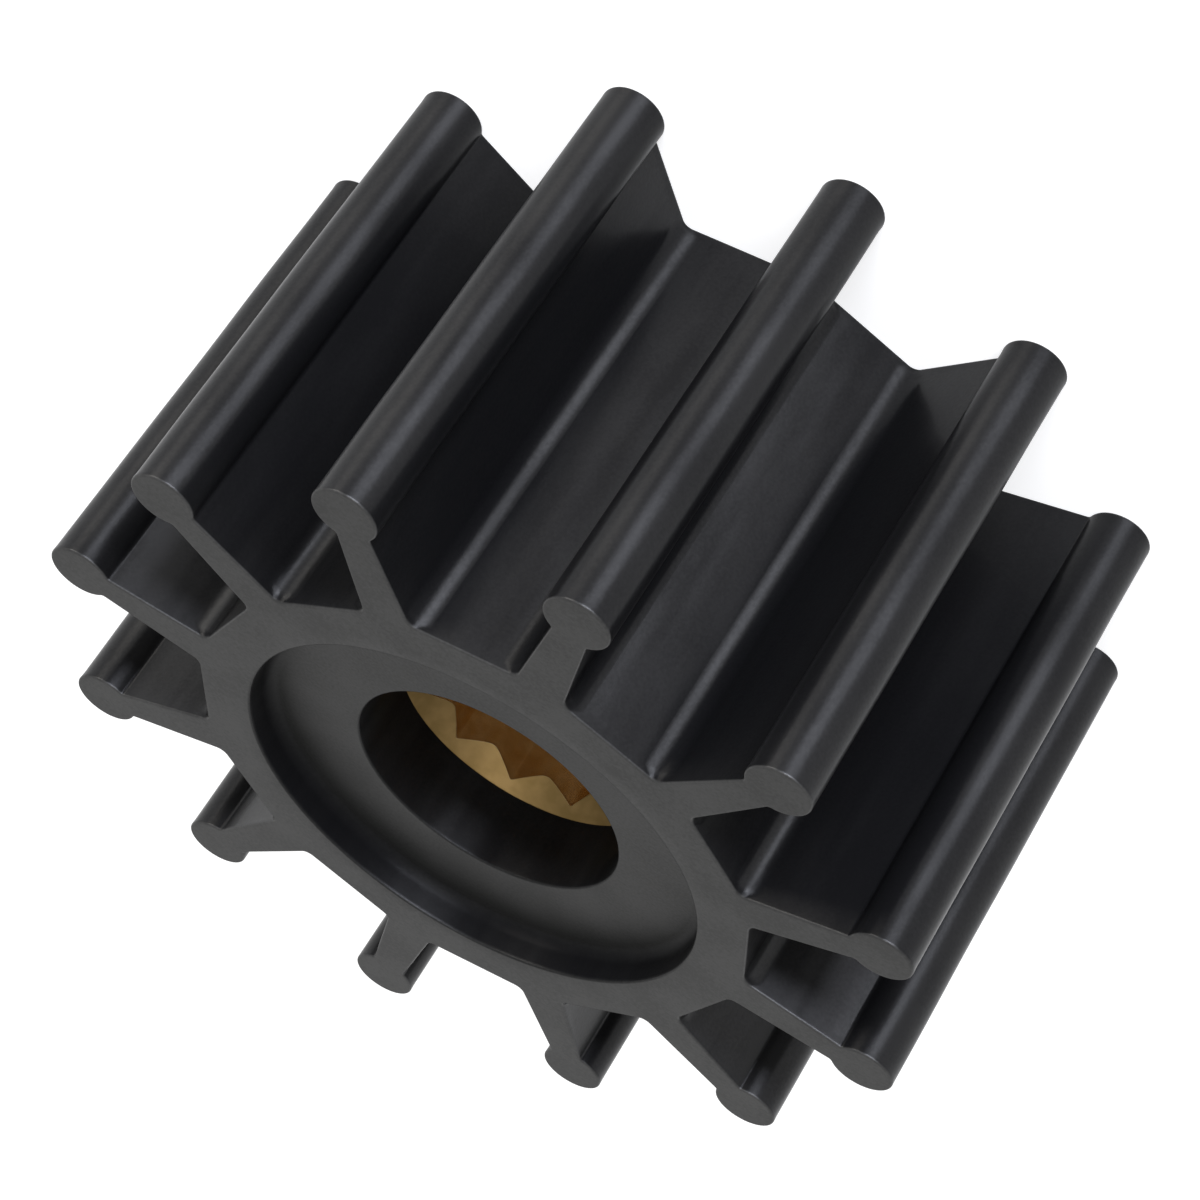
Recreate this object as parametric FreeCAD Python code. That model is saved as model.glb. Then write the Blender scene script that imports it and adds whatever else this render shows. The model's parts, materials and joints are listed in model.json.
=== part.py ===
# Flexible pump impeller: a rubber hub with straight blades, bonded round a splined brass bush.
# Millimetres. The origin is the centre of the lower end face, and +Z runs along the shaft axis.
# One blade points along +X. Both ends are alike, so the impeller can be fitted either way round.
import FreeCAD, Part

import math
import os

# Blades
tip_diameter = 57.0
blade_width = 31.5
blade_count = 12
bead_diameter = 4.0
blade_root_thickness = 3.0
blade_tip_thickness = 1.95
root_fillet_radius = 0.6
neck_fillet_radius = 0.3

# Hub, with one flat between each two blades
hub_across_flats = 35.8
recess_diameter = 29.4
recess_depth = 2.1
recess_corner_radius = 0.8
entry_bore_diameter = 17.1

# Brass bush, set below both end faces, with a 45 degree lead-in from the entry bore
bush_diameter = 21.0
bush_inset = 6.9
spline_count = 12
spline_major_diameter = 16.0
spline_minor_diameter = 14.2
spline_tooth_land = 0.38
spline_turn = 3.6


def vector(x, y, z=0.0):
    return FreeCAD.Vector(x, y, z)


def unit(v):
    return vector(v.x, v.y, v.z).normalize()


def turned(point, angle):
    """The point turned about the shaft axis by an angle in radians."""
    cosine, sine = math.cos(angle), math.sin(angle)
    return vector(point.x * cosine - point.y * sine, point.x * sine + point.y * cosine, point.z)


def line(start, end):
    return Part.LineSegment(start, end).toShape()


def arc(start, middle, end):
    return Part.Arc(start, middle, end).toShape()


def fillet_arc(centre, radius, start, end):
    """The short arc about a centre, from one tangent point to the other."""
    towards = unit(unit(start - centre) + unit(end - centre))
    return arc(start, centre + towards * radius, end)


def blade_side():
    """Fillet centres and tangent points of the blade's side that faces the next flat, blade along +X."""
    half_pitch = math.pi / blade_count
    flat_distance = hub_across_flats / 2
    bead_radius = bead_diameter / 2
    bead_centre = vector(tip_diameter / 2 - bead_radius, 0)
    at_root = vector(flat_distance, blade_root_thickness / 2)
    at_bead = vector(bead_centre.x, blade_tip_thickness / 2)
    along = unit(at_bead - at_root)
    web_normal = vector(-along.y, along.x)
    web_distance = web_normal.dot(at_root)
    flat_normal = vector(math.cos(half_pitch), math.sin(half_pitch))

    # The root fillet's centre lies one radius off the web and one radius off the flat.
    web_offset = web_distance + root_fillet_radius
    flat_offset = flat_distance + root_fillet_radius
    cross = web_normal.x * flat_normal.y - web_normal.y * flat_normal.x
    root_x = (web_offset * flat_normal.y - flat_offset * web_normal.y) / cross
    root_y = (web_normal.x * flat_offset - flat_normal.x * web_offset) / cross
    root_centre = vector(root_x, root_y)

    # The neck fillet's centre lies one radius off the web and touches the bead from outside.
    reach = bead_radius + neck_fillet_radius
    sideways = web_distance + neck_fillet_radius - web_normal.dot(bead_centre)
    back = math.sqrt(reach ** 2 - sideways ** 2)
    neck_centre = bead_centre + web_normal * sideways - along * back

    return {
        "flat": root_centre - flat_normal * root_fillet_radius,
        "root_centre": root_centre,
        "web_start": root_centre - web_normal * root_fillet_radius,
        "web_end": neck_centre - web_normal * neck_fillet_radius,
        "neck_centre": neck_centre,
        "bead": bead_centre + unit(neck_centre - bead_centre) * bead_radius,
    }


def moulding_outline():
    """The closed outline of hub and blades, anticlockwise."""
    upper = blade_side()
    lower = {name: vector(point.x, -point.y) for name, point in upper.items()}
    tip = vector(tip_diameter / 2, 0)
    pitch = 2 * math.pi / blade_count
    edges = []
    for number in range(blade_count):
        angle = number * pitch
        low = {name: turned(point, angle) for name, point in lower.items()}
        up = {name: turned(point, angle) for name, point in upper.items()}
        edges.append(fillet_arc(low["root_centre"], root_fillet_radius, low["flat"], low["web_start"]))
        edges.append(line(low["web_start"], low["web_end"]))
        edges.append(fillet_arc(low["neck_centre"], neck_fillet_radius, low["web_end"], low["bead"]))
        edges.append(arc(low["bead"], turned(tip, angle), up["bead"]))
        edges.append(fillet_arc(up["neck_centre"], neck_fillet_radius, up["bead"], up["web_end"]))
        edges.append(line(up["web_end"], up["web_start"]))
        edges.append(fillet_arc(up["root_centre"], root_fillet_radius, up["web_start"], up["flat"]))
        edges.append(line(up["flat"], turned(lower["flat"], angle + pitch)))
    return Part.Wire(edges)


def end_hollow(face_height, inward):
    """Recess and entry bore, turned from one end face down to the bush."""
    recess_radius = recess_diameter / 2
    entry_radius = entry_bore_diameter / 2

    def at(radius, depth):
        return vector(radius, 0, face_height + inward * depth)

    corner_inset = recess_corner_radius * (1 - math.sqrt(0.5))
    corner_start = at(recess_radius, recess_depth - recess_corner_radius)
    corner_middle = at(recess_radius - corner_inset, recess_depth - corner_inset)
    corner_end = at(recess_radius - recess_corner_radius, recess_depth)
    section = Part.Wire([
        line(at(0, 0), at(recess_radius, 0)),
        line(at(recess_radius, 0), corner_start),
        arc(corner_start, corner_middle, corner_end),
        line(corner_end, at(entry_radius, recess_depth)),
        line(at(entry_radius, recess_depth), at(entry_radius, bush_inset)),
        line(at(entry_radius, bush_inset), at(0, bush_inset)),
        line(at(0, bush_inset), at(0, 0)),
    ])
    return Part.Face(section).revolve(vector(0, 0), vector(0, 0, 1), 360)


def bush_blank():
    length = blade_width - 2 * bush_inset
    return Part.makeCylinder(bush_diameter / 2, length, vector(0, 0, bush_inset))


def rubber_impeller():
    body = Part.Face(moulding_outline()).extrude(vector(0, 0, blade_width))
    body = body.cut(end_hollow(blade_width, -1))
    body = body.cut(end_hollow(0, 1))
    return body.cut(bush_blank())


def spline_outline():
    """Vee grooves broached into a round bore, with a narrow land of the bore left as each tooth's top."""
    major_radius = spline_major_diameter / 2
    minor_radius = spline_minor_diameter / 2
    half_pitch = math.pi / spline_count
    half_groove = half_pitch - spline_tooth_land / spline_minor_diameter
    edges = []
    for number in range(spline_count):
        angle = math.radians(spline_turn) + 2 * half_pitch * number
        bottom = turned(vector(major_radius, 0), angle)
        before = turned(vector(minor_radius, 0), angle - half_groove)
        after = turned(vector(minor_radius, 0), angle + half_groove)
        land = turned(vector(minor_radius, 0), angle + half_pitch)
        next_before = turned(vector(minor_radius, 0), angle + 2 * half_pitch - half_groove)
        edges.append(line(before, bottom))
        edges.append(line(bottom, after))
        edges.append(arc(after, land, next_before))
    return Part.Wire(edges)


def brass_bush():
    entry_radius = entry_bore_diameter / 2
    minor_radius = spline_minor_diameter / 2
    chamfer = entry_radius - minor_radius
    low_end = bush_inset
    high_end = blade_width - bush_inset
    broach = Part.Face(spline_outline()).extrude(vector(0, 0, blade_width))
    body = bush_blank().cut(broach)
    up = vector(0, 0, 1)
    body = body.cut(Part.makeCone(entry_radius, minor_radius, chamfer, vector(0, 0, low_end), up))
    return body.cut(Part.makeCone(entry_radius, minor_radius, chamfer, vector(0, 0, high_end), -up))


os.makedirs("parts", exist_ok=True)
nodes = {
    "rubber_impeller": rubber_impeller(),
    "brass_bush": brass_bush(),
}
for name, shape in nodes.items():
    shape.exportStep("parts/" + name + ".step")
    print(name, "solids", len(shape.Solids), "valid", shape.isValid(), "volume", round(shape.Volume, 1))
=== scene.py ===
# Flexible pump impeller: a black rubber hub with twelve beaded blades, bonded round a splined brass bush.
import json
import math

import bpy
import numpy as np
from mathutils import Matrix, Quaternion, Vector


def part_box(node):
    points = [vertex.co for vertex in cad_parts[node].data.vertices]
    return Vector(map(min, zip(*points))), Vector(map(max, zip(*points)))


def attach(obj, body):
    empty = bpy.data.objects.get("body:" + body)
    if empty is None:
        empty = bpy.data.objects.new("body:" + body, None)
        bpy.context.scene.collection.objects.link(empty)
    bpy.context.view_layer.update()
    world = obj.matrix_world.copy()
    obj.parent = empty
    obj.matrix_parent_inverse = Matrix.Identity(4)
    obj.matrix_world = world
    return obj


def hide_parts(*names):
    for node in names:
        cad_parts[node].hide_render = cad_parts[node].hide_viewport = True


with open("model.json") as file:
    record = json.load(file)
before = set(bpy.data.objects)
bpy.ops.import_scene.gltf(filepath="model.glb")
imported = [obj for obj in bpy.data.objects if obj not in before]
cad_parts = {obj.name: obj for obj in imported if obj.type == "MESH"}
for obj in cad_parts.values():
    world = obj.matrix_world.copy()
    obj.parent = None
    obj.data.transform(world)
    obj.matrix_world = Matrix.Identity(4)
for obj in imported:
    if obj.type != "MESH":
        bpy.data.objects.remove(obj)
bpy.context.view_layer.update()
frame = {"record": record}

mm = 0.001
weldDistance = 0.002 * mm
fullTurn = 2 * np.pi
mounts = {mount["name"]: mount for mount in frame["record"]["mounts"]}


def hexToLinear(hexColour):
    # Each sRGB channel c becomes c / 12.92 when dark, else ((c + 0.055) / 1.055) to the power 2.4.
    srgb = np.array([int(hexColour[i:i + 2], 16) for i in (1, 3, 5)]) / 255
    linear = np.where(srgb <= 0.04045, srgb / 12.92, ((srgb + 0.055) / 1.055) ** 2.4)
    return (*linear.tolist(), 1.0)


def addNode(tree, kind, settings=None):
    # settings holds the node's own properties, and for each socket a value, a socket to link from, or a node
    # whose first output is linked.
    node = tree.nodes.new(kind)
    for name, value in (settings or {}).items():
        if isinstance(value, bpy.types.Node):
            value = value.outputs[0]
        if isinstance(value, bpy.types.NodeSocket):
            tree.links.new(value, node.inputs[name])
        elif isinstance(name, str) and hasattr(node, name):
            setattr(node, name, value)
        else:
            node.inputs[name].default_value = value
    return node


def newMaterial(name):
    material = bpy.data.materials.new(name)
    material.use_nodes = True
    material.node_tree.nodes.clear()
    return material, material.node_tree


def gridFaces(rows, columns, closeRows=False):
    # Cell (i, j) joins points (i, j), (i, j + 1), (i + 1, j + 1), (i + 1, j). Each row closes on itself.
    i = np.arange(rows if closeRows else rows - 1)[:, None]
    j = np.arange(columns)[None, :]
    nextI, nextJ = (i + 1) % rows, (j + 1) % columns
    corners = [i * columns + j, i * columns + nextJ, nextI * columns + nextJ, nextI * columns + j]
    return np.stack(np.broadcast_arrays(*corners), -1).reshape(-1, 4)


def addPiece(name, points, faces, material, weights):
    # One mesh object at the origin, with points in metres. weights holds named arrays of one number a point.
    # Points that meet, where two surfaces join or a face has shrunk to nothing, are merged.
    mesh = bpy.data.meshes.new(name)
    mesh.from_pydata(points.tolist(), [], faces.tolist())
    for label, values in weights.items():
        attribute = mesh.attributes.new(label, "FLOAT", "POINT")
        attribute.data.foreach_set("value", values.astype(np.float32))
    piece = bpy.data.objects.new(name, mesh)
    bpy.context.scene.collection.objects.link(piece)
    weld = piece.modifiers.new("weld", "WELD")
    weld.merge_threshold = weldDistance
    depsgraph = bpy.context.evaluated_depsgraph_get()
    welded = bpy.data.meshes.new_from_object(piece.evaluated_get(depsgraph), depsgraph=depsgraph)
    piece.modifiers.clear()
    piece.data = welded
    bpy.data.meshes.remove(mesh)
    welded.name = name
    welded.shade_smooth()
    welded.materials.append(material)
    return piece


def arcPoints(centre, radius, start, end, count):
    # centre + radius * (cos a, sin a), with the angle a going evenly from start to end
    angle = np.linspace(start, end, count)
    direction = np.stack([np.cos(angle), np.sin(angle)], -1)
    return centre + radius * direction, direction


def linePoints(start, end, count):
    # start + share * (end - start); the shares crowd towards both ends, as (1 - cos) / 2 does
    share = (1 - np.cos(np.linspace(0, np.pi, count))) / 2
    return start + share[:, None] * (end - start)


def arch(share):
    # 4 * share * (1 - share): 0 at both ends and 1 in the middle
    return 4 * share * (1 - share)


# Rubber moulding, in millimetres
rubberSize = {
    "bladeCount": 12,
    "beadDiameter": 4.0,
    "webAtRoot": 3.0,
    "webAtBead": 1.95,
    "neckFillet": 0.3,
    "rootFillet": 0.6,          # at the end faces
    "innerRootFillet": 1.5,     # along the sides
    "widening": 0.5,            # from an end face to where the root fillet has widened
    "hubAcrossFlats": 35.8,
    "hubBulge": 0.06,           # how far the hub stands out in the middle between two blades
    "recessDiameter": 29.4,
    "recessDepth": 2.1,
    "recessCorner": 0.8,
    "seatOverlap": 0.1,         # how far the rubber reaches past the bush's end, hidden in the brass
    "groundEdge": 0.12,         # rounding left where the ends are ground
    "mouthEdge": 0.15,          # rounding of the recess rim and the bore's mouth
    "swell": 0.04,              # how far the moulded sides sink in soft waves
    "swellAround": 3.1,         # from wave to wave, across the axis and along it
    "swellAlong": 15.0,
    "swellWaves": (             # shares of x, y and height, and the start in radians
        (1, 0, 1, 0),
        (0, 0.83, -0.71, 1.3),
        (0.47, 0.47, 1.37, 4.1),
    ),
    "edgePaintedHighlight": 1.0,           # painted highlight: gloss added in the middle of the rounding of the ground edges
    "rimPaintedShade": -0.35,          # painted shade: gloss taken off the recess rim and the bore's mouth in the same way
    "rootPaintedSheen": 0.3,           # painted highlight: gloss added on the root fillet along the sides
    "wideningPaintedShade": -0.7,      # painted shade: gloss taken off where that fillet widens
    "wallPaintedShade": 0.4,           # painted shade: gloss at the top of the recess wall, then in its corner and in the bore; open faces have 1
    "cornerPaintedShade": 0.35,
    "borePaintedShade": 0.9,
    "outlinePoints": {"bead": 25, "neck": 8, "web": 16, "root": 12, "hub": 12},
    "hollowPoints": {"round": 6, "wall": 6, "corner": 13, "floor": 12, "bore": 9},
    "edgeRings": 5,
    "crossingRings": 4,         # from just inside the edge to the spine of each end face
    "nearEnd": (2, 4, 6, 9),    # first rings up the sides, in edge roundings; the last starts the even ones
    "sideRings": 18,
}


def halfBladeOutline(size, tipRadius, rootRadius, bulge):
    # From the bead's crest round to the neck, down the web, round the root and along the flat to its middle.
    # A fillet's centre lies one radius off both of its sides. The hub stands out by bulge * (1 - t * t), and
    # t goes from 0 in the middle between two blades to 1 at the root. Returns the points, their outward
    # normals, the spine, where each point's line across the end face ends (bead centre, blade centreline or
    # recess rim), and a bell, which is sin(a) round the root with a from 0 to 180 degrees, and 0 elsewhere.
    count = size["outlinePoints"]
    halfPitch = np.pi / size["bladeCount"]
    beadRadius = size["beadDiameter"] / 2
    flat = size["hubAcrossFlats"] / 2
    rim = size["recessDiameter"] / 2 + size["mouthEdge"]
    beadCentre = np.array([tipRadius - beadRadius, 0.0])
    atRoot = np.array([flat, size["webAtRoot"] / 2])
    along = np.array([beadCentre[0], size["webAtBead"] / 2]) - atRoot
    along /= np.hypot(*along)
    webNormal = np.array([-along[1], along[0]])
    flatNormal = np.array([np.cos(halfPitch), np.sin(halfPitch)])
    webDistance = webNormal @ atRoot

    rootCentre = np.linalg.solve([webNormal, flatNormal], [webDistance + rootRadius, flat + rootRadius])
    reach = beadRadius + size["neckFillet"]
    sideways = webDistance + size["neckFillet"] - webNormal @ beadCentre
    neckCentre = beadCentre + webNormal * sideways - along * np.sqrt(reach ** 2 - sideways ** 2)

    toNeck = np.arctan2(*(neckCentre - beadCentre)[::-1])
    webTurn = np.arctan2(-webNormal[1], -webNormal[0]) + fullTurn
    flatTurn = halfPitch + np.pi
    bead, beadNormal = arcPoints(beadCentre, beadRadius, 0, toNeck, count["bead"])
    neck, neckInward = arcPoints(neckCentre, size["neckFillet"], toNeck + np.pi, webTurn, count["neck"])
    root, rootInward = arcPoints(rootCentre, rootRadius, webTurn, flatTurn, count["root"])
    web = linePoints(neck[-1], root[0], count["web"])
    hub = linePoints(root[-1], flatNormal * flat, count["hub"])
    fromMiddle = np.hypot(*(hub - hub[-1]).T) / np.hypot(*(root[-1] - hub[-1]))
    hub = hub + bulge * (1 - fromMiddle ** 2)[:, None] * flatNormal

    onBead = np.broadcast_to(beadCentre, bead.shape)
    neckShare = np.linspace(0, 1, len(neck))[:, None]
    onNeck = beadCentre + neckShare * (web[0] * [1, 0] - beadCentre)
    onWeb = web * [1, 0]
    rootShare = np.linspace(0, 1, len(root))[:, None]
    onRoot = onWeb[-1] + rootShare * (np.array([rim, 0.0]) - onWeb[-1])
    onRim = arcPoints(0, rim, 0, halfPitch, len(hub))[0]

    points = np.concatenate([bead[:-1], neck[:-1], web[:-1], root[:-1], hub])
    spine = np.concatenate([onBead[:-1], onNeck[:-1], onWeb[:-1], onRoot[:-1], onRim])
    normals = np.concatenate([beadNormal[:-1], -neckInward[:-1], np.tile(webNormal, (len(web) - 1, 1)),
                              -rootInward[:-1], np.tile(flatNormal, (len(hub), 1))])
    bell = np.sin(np.linspace(0, np.pi, len(root)))
    before, after = np.zeros(len(points) - len(hub) - len(root) + 1), np.zeros(len(hub) - 1)
    return points, normals, spine, np.concatenate([before, bell, after])


def roundBlades(half, count):
    # Mirrors the half outline over the blade's centreline, then turns it by each multiple of the pitch.
    flip = np.array([1, -1])
    whole = np.concatenate([(half * flip)[::-1], half[1:]])[:-1]
    angle = fullTurn * np.arange(count)[:, None] / count
    x, y = whole[:, 0], whole[:, 1]
    turned = np.stack([x * np.cos(angle) - y * np.sin(angle), x * np.sin(angle) + y * np.cos(angle)], -1)
    return turned.reshape(-1, 2)


def roundValues(half, count):
    # The same for one number a point.
    return np.tile(np.concatenate([half[::-1], half[1:]])[:-1], count)


def softWaves(size, x, y, height):
    # The mean of crossed sine waves, sin(turns * 360 degrees + start), moved to lie between 0 and 1. The
    # turns are a wave's shares of x and y divided by swellAround, plus its share of height by swellAlong.
    waves = []
    for onX, onY, onHeight, start in size["swellWaves"]:
        turns = (x * onX + y * onY) / size["swellAround"] + height * onHeight / size["swellAlong"]
        waves.append(np.sin(fullTurn * turns + start))
    return 0.5 + sum(waves) / (2 * len(waves))


def mouldingShell(size, tipRadius, width):
    # The outline carried up the shaft axis: rings across the lower face, round its edge, up the sides, round
    # the upper edge and back across the upper face. Ring v stands inset(v) inside the outline at height(v),
    # and then share(v) of the way from there to the spine. Along the sides the soft waves add to the inset,
    # and the outline moves from the end faces' one to the one with the wider root fillet and bulging hub.
    # Returns the points, and for each of them matt, which is 1 on the ground ends, painted sheen, a gloss
    # factor that paints highlights on the edges and root fillets and shade where the fillets widen, and
    # skin, which is 1 on the moulded sides.
    *ends, bell = halfBladeOutline(size, tipRadius, size["rootFillet"], 0)
    outline, normals, spine = (roundBlades(part, size["bladeCount"]) for part in ends)
    inner = halfBladeOutline(size, tipRadius, size["innerRootFillet"], size["hubBulge"])[0]
    inner = roundBlades(inner, size["bladeCount"])
    bell = roundValues(bell, size["bladeCount"])

    edge = size["groundEdge"]
    turn = np.linspace(0, np.pi / 2, size["edgeRings"])
    *nearEnd, firstEven = size["nearEnd"]
    tall = width / edge
    even = np.linspace(firstEven, tall - firstEven, size["sideRings"])
    wall = edge * np.concatenate([nearEnd, even, tall - np.array(nearEnd)[::-1]])
    crossing = np.linspace(0, 1, size["crossingRings"])

    onFace = np.ones(len(crossing))
    inset = np.concatenate([np.zeros(len(wall)), edge * (1 - np.cos(turn)), onFace * 2 * edge])
    height = np.concatenate([wall, width - edge * (1 - np.sin(turn)), onFace * width])
    share = np.concatenate([np.zeros(len(wall) + len(turn)), crossing])
    matt = np.concatenate([np.zeros(len(wall)), turn / (np.pi / 2), onFace])
    lower = np.arange(len(wall), len(height))[::-1]
    inset, share, matt = (np.concatenate([part[lower], part]) for part in (inset, share, matt))
    height = np.concatenate([width - height[lower], height])

    onSides = np.clip((width / 2 - np.abs(height - width / 2)) / size["widening"], 0, 1)[:, None]
    waves = softWaves(size, outline[:, 0], outline[:, 1], height[:, None])
    sink = inset[:, None] + size["swell"] * waves * onSides
    rings = outline + onSides[:, :, None] * (inner - outline) - normals * sink[:, :, None]
    rings = rings + share[:, None, None] * (spine[None] - rings)
    points = np.concatenate([rings, np.broadcast_to(height[:, None, None], rings[..., :1].shape)], -1)

    matt = np.broadcast_to(matt[:, None], points.shape[:2])
    # Painted highlight on the root fillets along the sides, and painted shade where they widen near the
    # ends.
    rootPaintedSheen = (size["rootPaintedSheen"] * onSides + size["wideningPaintedShade"] * arch(onSides)) * bell
    # Painted highlight along the ground edges: the gloss is raised in the middle of their rounding.
    paintedSheen = 1 + rootPaintedSheen + size["edgePaintedHighlight"] * arch(matt)
    # Painted shade: the glossy skin is also taken away where the root fillet widens.
    skin = (1 - matt) * (1 - arch(onSides) * bell)
    return points, matt, paintedSheen, skin


def hollowProfile(size, boreRadius, bushRadius, bushInset, width):
    # Half of the turned hollow, from the upper rim down to mid-height, as (radius, height), with quarter
    # circles at the rim, the recess corner and the bore's mouth. Returns the points, and for each of them
    # matt and painted sheen, a gloss factor that paints shade at the rim, down the recess wall, in its
    # corner and in the bore. The corner stays moulded until close to the floor, as share to the power 4
    # does.
    count = size["hollowPoints"]
    edge, corner = size["mouthEdge"], size["recessCorner"]
    recess, depth = size["recessDiameter"] / 2, size["recessDepth"]
    rim = arcPoints([recess + edge, width - edge], edge, np.pi / 2, np.pi, count["round"])[0]
    foot = arcPoints([recess - corner, width - depth + corner], corner, 0, -np.pi / 2, count["corner"])[0]
    mouth = arcPoints([boreRadius + edge, width - depth - edge], edge, np.pi / 2, np.pi, count["round"])[0]
    wall = linePoints(rim[-1], foot[0], count["wall"])[1:-1]
    floor = linePoints(foot[-1], mouth[0], count["floor"])[1:-1]
    seatHeight = width - bushInset - size["seatOverlap"]
    bore = linePoints(mouth[-1], np.array([boreRadius, seatHeight]), count["bore"])[1:]
    bore = np.concatenate([bore, [[bushRadius, seatHeight], [bushRadius, width / 2]]])

    toFloor = np.linspace(0, 1, len(foot)) ** 4
    cornerPaintedShade = size["cornerPaintedShade"]
    roundMatt = np.linspace(1, 0, count["round"])
    # Painted shade: the rim and the bore's mouth lose gloss in the middle of their rounding.
    roundPaintedShade = 1 + size["rimPaintedShade"] * arch(roundMatt)
    # Painted shade in the hollow: the gloss is lowered down the recess wall, in its corner and in the bore.
    stretches = [
        (rim, roundMatt, roundPaintedShade),
        (wall, np.zeros(len(wall)), np.linspace(size["wallPaintedShade"], cornerPaintedShade, len(wall))),
        (foot, toFloor, cornerPaintedShade + (1 - cornerPaintedShade) * toFloor),
        (floor, np.ones(len(floor)), np.ones(len(floor))),
        (mouth, roundMatt, roundPaintedShade),
        (bore, np.zeros(len(bore)), np.full(len(bore), size["borePaintedShade"])),
    ]
    return (np.concatenate(part) for part in zip(*stretches))


def turnedShell(profile, angles):
    # Every profile point (radius, height) turned to every angle: (radius * cos, radius * sin, height).
    radius, height = profile[:, :1], profile[:, 1:]
    x, y = radius * np.cos(angles), radius * np.sin(angles)
    return np.stack([x, y, np.broadcast_to(height, x.shape)], -1)


def buildRubber(size, material):
    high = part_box("rubber_impeller")[1]
    bushLow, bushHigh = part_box("brass_bush")
    tipRadius, width = high.x / mm, high.z / mm
    bushRadius, bushInset = bushHigh.x / mm, bushLow.z / mm
    boreRadius = mounts["upper_entry_bore"]["dims"]["r_mm"]

    # The hollow has its columns at the angles where the shell ends on the rim, so that the two join there.
    # Rounding to 9 digits makes one angle of those that meet.
    shell, shellMatt, shellPaintedSheen, shellSkin = mouldingShell(size, tipRadius, width)
    rings, around = shell.shape[:2]
    x, y = shell[-1, :, 0], shell[-1, :, 1]
    rimRadius = size["recessDiameter"] / 2 + size["mouthEdge"]
    onRim = np.isclose(np.hypot(x, y), rimRadius, rtol=0, atol=1e-6)
    angles = np.unique(np.round(np.arctan2(y[onRim], x[onRim]) % fullTurn, 9) % fullTurn)

    half, halfMatt, halfPaintedSheen = hollowProfile(size, boreRadius, bushRadius, bushInset, width)
    profile = np.concatenate([half, (half * [1, -1] + [0, width])[::-1][1:]])
    hollowMatt, hollowPaintedSheen = (np.repeat(np.concatenate([part, part[::-1][1:]]), len(angles))
                               for part in (halfMatt, halfPaintedSheen))
    hollow = turnedShell(profile, angles)

    points = np.concatenate([shell.reshape(-1, 3), hollow.reshape(-1, 3)]) * mm
    faces = np.concatenate([gridFaces(rings, around), gridFaces(len(profile), len(angles)) + rings * around])
    weights = {
        "matt": np.concatenate([shellMatt.ravel(), hollowMatt]),
        "paintedSheen": np.concatenate([shellPaintedSheen.ravel(), hollowPaintedSheen]),
        # Painted shade: the hollow gets no glossy skin.
        "skin": np.concatenate([shellSkin.ravel(), np.zeros(len(hollowMatt))]),
    }
    piece = addPiece("rubber_moulding", points, faces, material, weights)
    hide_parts("rubber_impeller")
    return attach(piece, "root")


# Brass bush, in millimetres
brassSize = {
    "toothCount": 12,
    "grooveRadius": 8.0,
    "toothLand": 0.38,
    "splineTurn": 3.6,          # degrees, from a blade to a groove
    "cornerRound": 0.03,        # how far each corner of the spline is eased
    "broachEdge": 0.06,         # rounding between the spline and the lead-in
    "outerEdge": 0.05,          # chamfer inside the rubber
    "halfPitchPoints": 15,
    "splineRings": (0, 0.2, 0.4, 0.6, 0.8, 0.97, 1),    # shares of the way from mid-height to the edge
    "edgeRings": (0, 1, 1),                             # finish, 0 for broached and 1 for turned
    "leadInRings": (0.03, 0.3, 0.6, 0.97, 1),           # shares of the way from the edge to the mouth
}


def splineOutline(size, boreRadius):
    # Half a pitch of the vee spline, mirrored, as (angle, radius): from the groove's bottom up a straight
    # flank to the land of the bore. A straight line has radius distance / (normal . direction). The outer
    # one of flank and bore is a soft maximum, (a + b + root of ((a - b) squared + ease squared)) / 2, and a
    # narrow bell, exp(-t * t), fills the groove's bottom a little, so that no corner is sharp.
    halfPitch = np.pi / size["toothCount"]
    edgeAngle = halfPitch - size["toothLand"] / 2 / boreRadius
    bottom = np.array([size["grooveRadius"], 0.0])
    flank = boreRadius * np.array([np.cos(edgeAngle), np.sin(edgeAngle)]) - bottom
    normal = np.array([flank[1], -flank[0]]) / np.hypot(*flank)
    half = halfPitch * (1 - np.cos(np.linspace(0, np.pi, size["halfPitchPoints"]))) / 2
    onFlank = (normal @ bottom) / (normal[0] * np.cos(half) + normal[1] * np.sin(half))
    ease = size["cornerRound"]
    eased = (onFlank + boreRadius + np.sqrt((onFlank - boreRadius) ** 2 + ease ** 2)) / 2
    radius = eased - ease * np.exp(-(half * size["grooveRadius"] / (2 * ease)) ** 2)
    return np.concatenate([-half[::-1], half[1:-1]]), np.concatenate([radius[::-1], radius[1:-1]])


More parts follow.
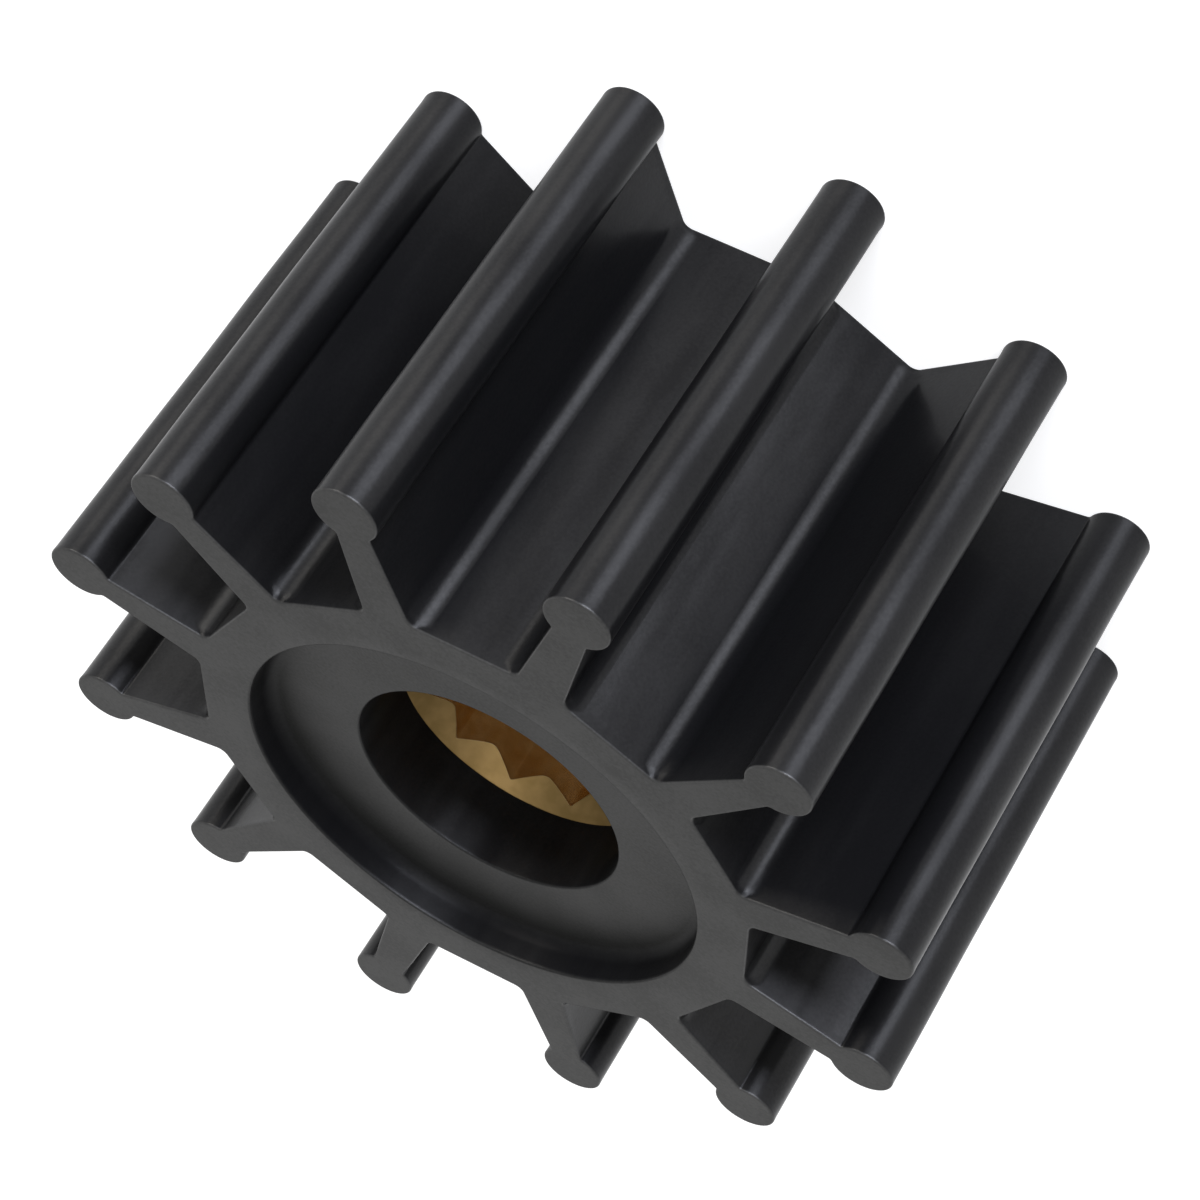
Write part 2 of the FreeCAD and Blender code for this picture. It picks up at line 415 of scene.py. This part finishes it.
def buildBrass(size, material):
    low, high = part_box("brass_bush")
    outer, bottom, top = high.x / mm, low.z / mm, high.z / mm
    boreRadius = mounts["spline"]["dims"]["r_mm"]
    mouthRadius = mounts["upper_entry_bore"]["dims"]["r_mm"]

    pitchAngle, pitchRadius = splineOutline(size, boreRadius)
    turns = fullTurn * np.arange(size["toothCount"])[:, None] / size["toothCount"]
    angles = (turns + pitchAngle).ravel() + math.radians(size["splineTurn"])
    wall = np.tile(pitchRadius, size["toothCount"])

    # Rings from mid-height up the spline, round its edge, out along the 45 degree lead-in, over the end and
    # down the outside; the lower half mirrors them. A ring has a radius and a height at every angle, and one
    # finish. The rounding of a 45 degree edge starts edge * tan(45 / 2 degrees) before the faces meet.
    middle = (bottom + top) / 2
    edge = size["broachEdge"]
    foot = top - (mouthRadius - wall) - edge * math.tan(np.pi / 8)
    rings = [(wall, middle + share * (foot - middle), 0) for share in size["splineRings"]]
    edgeTurns = np.linspace(0, np.pi / 4, len(size["edgeRings"]) + 1)[1:]
    for turn, finish in zip(edgeTurns, size["edgeRings"]):
        rings.append((wall + edge * (1 - np.cos(turn)), foot + edge * np.sin(turn), finish))
    coneRadius, coneHeight = rings[-1][:2]
    for share in size["leadInRings"]:
        radius = coneRadius + share * (mouthRadius - coneRadius)
        rings.append((radius, coneHeight + share * (top - coneHeight), 1))
    rings.append((np.full_like(wall, outer - size["outerEdge"]), np.full_like(wall, top), 1))
    rings.append((np.full_like(wall, outer), np.full_like(wall, top - size["outerEdge"]), 1))

    radius, height, finish = (np.array(part) for part in zip(*rings))
    radius = np.concatenate([radius, radius[:0:-1]])
    height = np.concatenate([height, bottom + top - height[:0:-1]])
    finish = np.repeat(np.concatenate([finish, finish[:0:-1]]), len(angles))
    points = np.stack([radius * np.cos(angles), radius * np.sin(angles), height], -1)
    faces = gridFaces(len(radius), len(angles), closeRows=True)[:, ::-1]
    piece = addPiece("brass_spline_bush", points.reshape(-1, 3) * mm, faces, material, {"turned": finish})
    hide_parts("brass_bush")
    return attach(piece, "root")


# Nitrile rubber, moulded with a satin skin and ground flat on its end faces: almost black in itself, with a
# soft sheen drawn out along the sides, and a finely grained grey bloom on the ends.
rubberLook = {
    "moulded": "#0b0b0c",
    "ground": "#131312",
    "mouldedRoughness": (0.36, 0.46),
    "groundRoughness": 0.46,
    "mouldedSpecular": (0.115, 0.21),
    "groundSpecular": (0.27, 0.385),
    "dullAt": (0.63, 0.74),     # 1 less the sine of the angle of sight: here the ends lose their gloss
    "dullShare": 0.03,          # what they keep of it
    "drawn": 0.85,              # how far the sheen is drawn out along the blades
    "skin": 0.18,               # a thin glossy skin that lights the rims of the beads
    "skinRoughness": 0.1,
    "skinIor": 1.2,
    "streak": (1.3, 0.08, 2.0),     # a noise's cell across the axis in mm, its scale along it, and detail
    "cloud": (4.0, 0.5, 3.0),
    "grain": (0.2, 1.0, 3.0),
    "noiseSpan": (0.4, 0.6),        # the part of each noise that is spread over a range
    "cloudInStreak": 0.6,           # shares of the second noise in the first
    "grainOnSides": 0.25,
    "grainOnEnds": 0.55,
    "bump": 0.25,
    "bumpDepth": 0.02,              # mm
}


def mouldedRubber(look):
    material, tree = newMaterial("nitrile rubber, moulded and ground")
    matt, paintedSheen, skin = (addNode(tree, "ShaderNodeAttribute", {"attribute_name": name}).outputs["Fac"]
                         for name in ("matt", "paintedSheen", "skin"))
    place = addNode(tree, "ShaderNodeTexCoord").outputs["Object"]
    noises = []
    for cell, along, detail in (look["streak"], look["cloud"], look["grain"]):
        stretched = addNode(tree, "ShaderNodeMapping", {"Scale": (1, 1, along), "Vector": place})
        noises.append(addNode(tree, "ShaderNodeTexNoise", {
            "Scale": 1 / (cell * mm),
            "Detail": detail,
            "Vector": stretched,
        }))
    streaks, clouds, grain = noises
    soft = addNode(tree, "ShaderNodeMix", {0: look["cloudInStreak"], 2: streaks, 3: clouds})
    onSides = addNode(tree, "ShaderNodeMix", {0: look["grainOnSides"], 2: soft, 3: grain})
    onEnds = addNode(tree, "ShaderNodeMix", {0: look["grainOnEnds"], 2: clouds, 3: grain})

    # What each value is, from where to where it goes, and what it becomes there.
    facing = addNode(tree, "ShaderNodeLayerWeight", {"Blend": 0.5}).outputs["Facing"]
    span = look["noiseSpan"]
    sideGloss, endGloss, glossKept, sideRoughness, drawn, coat = (
        addNode(tree, "ShaderNodeMapRange", {
            "Value": value,
            "From Min": low,
            "From Max": high,
            "To Min": toLow,
            "To Max": toHigh,
        }) for value, (low, high), (toLow, toHigh) in (
            (onSides, span, look["mouldedSpecular"]),
            (onEnds, span, look["groundSpecular"]),
            (facing, look["dullAt"], (1, look["dullShare"])),
            (soft, span, look["mouldedRoughness"]),
            (matt, (0, 1), (look["drawn"], 0)),
            (skin, (0, 1), (0, look["skin"])),
        ))
    endGloss = addNode(tree, "ShaderNodeMath", {"operation": "MULTIPLY", 0: endGloss, 1: glossKept})
    gloss = addNode(tree, "ShaderNodeMix", {0: matt, 2: sideGloss, 3: endGloss})
    # Painted highlight and shade: the painted sheen raises or lowers the gloss point by point.
    gloss = addNode(tree, "ShaderNodeMath", {"operation": "MULTIPLY", 0: gloss, 1: paintedSheen})
    roughness = addNode(tree, "ShaderNodeMix", {0: matt, 2: sideRoughness, 3: look["groundRoughness"]})
    colour = addNode(tree, "ShaderNodeMix", {
        "data_type": "RGBA",
        0: matt,
        6: hexToLinear(look["moulded"]),
        7: hexToLinear(look["ground"]),
    })
    fine = addNode(tree, "ShaderNodeBump", {
        "Strength": look["bump"],
        "Distance": look["bumpDepth"] * mm,
        "Height": grain,
    })
    shaftAxis = addNode(tree, "ShaderNodeCombineXYZ", {"Z": 1.0})
    shader = addNode(tree, "ShaderNodeBsdfPrincipled", {
        "Base Color": colour.outputs[2],
        "Roughness": roughness,
        "Specular IOR Level": gloss,
        "Anisotropic": drawn,
        "Tangent": shaftAxis,
        "Coat Weight": coat,
        "Coat Roughness": look["skinRoughness"],
        "Coat IOR": look["skinIor"],
        "Normal": fine,
    })
    addNode(tree, "ShaderNodeOutputMaterial", {"Surface": shader})
    return material


# Brass, broached in the grooves and turned on the lead-in: the grooves are clean metal that mirrors itself
# to a deep orange, and the lead-in has a dull blotchy film that keeps it a quiet khaki gold.
brassLook = {
    "broached": ("#dcbc8b", "#e9d3ad"),
    "turned": ("#6a5735", "#77623f"),
    "glancing": "#fbedc4",      # brass stays yellow where it is seen at a low angle
    "broachedRoughness": 0.27,
    "turnedRoughness": 0.5,
    "blotch": 1.1,              # mm
    "blotchSpan": (0.35, 0.65),     # the part of the noise that goes from the first colour to the second
}


def turnedBrass(look):
    material, tree = newMaterial("brass, turned and broached")
    turned = addNode(tree, "ShaderNodeAttribute", {"attribute_name": "turned"}).outputs["Fac"]
    place = addNode(tree, "ShaderNodeTexCoord").outputs["Object"]
    noise = addNode(tree, "ShaderNodeTexNoise", {"Scale": 1 / (look["blotch"] * mm), "Vector": place})
    low, high = look["blotchSpan"]
    blotch = addNode(tree, "ShaderNodeMapRange", {"Value": noise, "From Min": low, "From Max": high})
    broachedColour, turnedColour = (
        addNode(tree, "ShaderNodeMix", {
            "data_type": "RGBA",
            0: blotch,
            6: hexToLinear(first),
            7: hexToLinear(second),
        }).outputs[2] for first, second in (look["broached"], look["turned"]))
    colour = addNode(tree, "ShaderNodeMix", {
        "data_type": "RGBA",
        0: turned,
        6: broachedColour,
        7: turnedColour,
    })
    roughness = addNode(tree, "ShaderNodeMix", {
        0: turned,
        2: look["broachedRoughness"],
        3: look["turnedRoughness"],
    })
    shader = addNode(tree, "ShaderNodeBsdfPrincipled", {
        "Base Color": colour.outputs[2],
        "Metallic": 1.0,
        "Roughness": roughness,
        "Specular Tint": hexToLinear(look["glancing"]),
    })
    addNode(tree, "ShaderNodeOutputMaterial", {"Surface": shader})
    return material


# Studio, in metres: plain white floor and sky, two low soft boxes in front and one above
studio = {
    "floorSize": 3.0,
    "floorColour": 0.6,         # linear grey
    "floorGlow": 0.6,           # what is added to it where the camera or a mirror sees it
    "skyStrength": 0.7,         # what lights the object, while the sky is seen as white
    "middle": 0.016,            # height that the soft boxes face
    "boxes": {                  # azimuth and elevation in degrees, distance, width and height, watts, colour
        "front": (268, 7, 0.6, (0.34, 0.14), 7.7, "#eef2ff"),
        "side": (322, 6, 0.7, (0.32, 0.14), 3.2, "#fffaf2"),
        "above": (270, 55, 0.6, (0.2, 0.2), 0.9, "#ffffff"),
    },
}


def seenOrMirrored(tree):
    # 1 for a camera, glossy or transmission ray, else 0: the largest of the Light Path's three answers.
    rays = addNode(tree, "ShaderNodeLightPath").outputs
    seen = rays["Is Camera Ray"]
    for kind in ("Is Glossy Ray", "Is Transmission Ray"):
        seen = addNode(tree, "ShaderNodeMath", {"operation": "MAXIMUM", 0: seen, 1: rays[kind]})
    return seen


def buildFloor(look):
    # White paper, without gloss, which looks white and keeps the impeller's shadow.
    half = look["floorSize"] / 2
    mesh = bpy.data.meshes.new("floor")
    corners = [(-half, -half, 0), (half, -half, 0), (half, half, 0), (-half, half, 0)]
    mesh.from_pydata(corners, [], [(0, 1, 2, 3)])
    floor = bpy.data.objects.new("floor", mesh)
    bpy.context.scene.collection.objects.link(floor)
    material, tree = newMaterial("white paper")
    paper = addNode(tree, "ShaderNodeBsdfDiffuse", {"Color": (*[look["floorColour"]] * 3, 1.0)})
    glow = addNode(tree, "ShaderNodeEmission", {"Strength": look["floorGlow"]})
    brighter = addNode(tree, "ShaderNodeAddShader", {0: paper, 1: glow})
    mixed = addNode(tree, "ShaderNodeMixShader", {0: seenOrMirrored(tree), 1: paper, 2: brighter})
    addNode(tree, "ShaderNodeOutputMaterial", {"Surface": mixed})
    mesh.materials.append(material)


def buildSky(look):
    world = bpy.data.worlds.new("studio")
    bpy.context.scene.world = world
    world.use_nodes = True
    tree = world.node_tree
    tree.nodes.clear()
    strength = addNode(tree, "ShaderNodeMix", {0: seenOrMirrored(tree), 2: look["skyStrength"], 3: 1.0})
    sky = addNode(tree, "ShaderNodeBackground", {"Color": (1, 1, 1, 1), "Strength": strength})
    addNode(tree, "ShaderNodeOutputWorld", {"Surface": sky})


# Camera: it looks at a point close to the shaft axis, and is rolled about its line of sight.
cameraPlace = {
    "eye": (-6.1, -180.9, 116.1),       # mm
    "target": (0.66, 0.0, 14.7),
    "viewAngle": 19.554,                # degrees
    "roll": -146.58,
}


def buildCamera(place):
    eye, target = Vector(place["eye"]) * mm, Vector(place["target"]) * mm
    data = bpy.data.cameras.new("camera")
    data.sensor_width = 36.0
    data.angle = math.radians(place["viewAngle"])
    data.clip_start, data.clip_end = 0.01, 20.0
    camera = bpy.data.objects.new("camera", data)
    camera.location = eye
    level = (target - eye).to_track_quat("-Z", "Y")
    camera.rotation_mode = "QUATERNION"
    camera.rotation_quaternion = level @ Quaternion((0, 0, 1), math.radians(place["roll"]))
    bpy.context.scene.collection.objects.link(camera)
    bpy.context.scene.camera = camera


def addSoftBox(name, middle, azimuth, elevation, distance, size, power, colour):
    # An area lamp on a sphere round the impeller's middle, turned to face it.
    turn, rise = math.radians(azimuth), math.radians(elevation)
    outward = Vector((math.cos(turn) * math.cos(rise), math.sin(turn) * math.cos(rise), math.sin(rise)))
    data = bpy.data.lights.new(name, "AREA")
    data.shape, data.energy = "RECTANGLE", power
    data.size, data.size_y = size
    data.color = hexToLinear(colour)[:3]
    lamp = bpy.data.objects.new(name, data)
    lamp.location = Vector((0, 0, middle)) + outward * distance
    lamp.rotation_euler = (-outward).to_track_quat("-Z", "Y").to_euler()
    bpy.context.scene.collection.objects.link(lamp)


buildRubber(rubberSize, mouldedRubber(rubberLook))
print("rubber done")
buildBrass(brassSize, turnedBrass(brassLook))
print("brass done")
buildFloor(studio)
buildSky(studio)
buildCamera(cameraPlace)
for name, values in studio["boxes"].items():
    addSoftBox(name, studio["middle"], *values)
bpy.context.scene.view_settings.view_transform = "Standard"
print("studio done")
